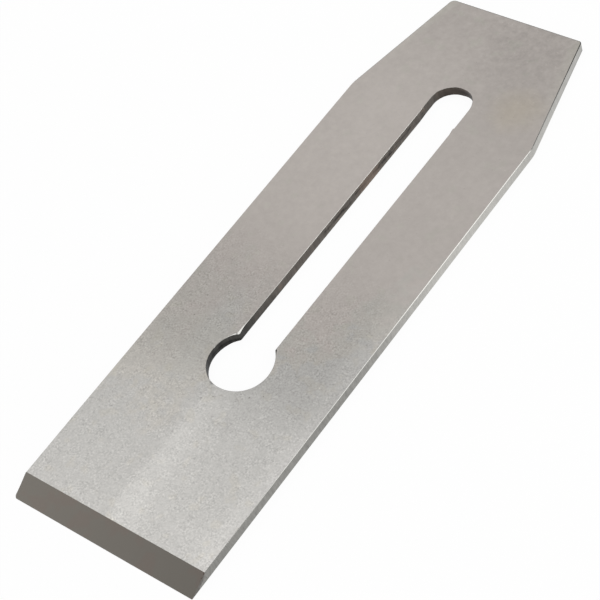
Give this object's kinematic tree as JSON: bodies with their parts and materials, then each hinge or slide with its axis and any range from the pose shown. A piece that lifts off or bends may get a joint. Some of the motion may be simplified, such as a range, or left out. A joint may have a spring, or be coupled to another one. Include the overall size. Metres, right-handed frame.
{
  "type": "plane iron",
  "caption": "Flat steel cutter of a bench plane: ground bevel, tapered tail and a keyhole slot for the cap iron's screw.",
  "frame": {"origin": "middle of the cutting edge, in the plane of the flat back", "axes": "+Y along the iron from the cutting edge to the tail, +Z out of the bevelled face, +X across the width"},
  "size_m": [0.06, 0.19, 0.003],
  "materials": {
    "steel": "ground"
  },
  "bodies": {
    "root": {"plane_iron": "steel"}
  },
  "joints": []
}
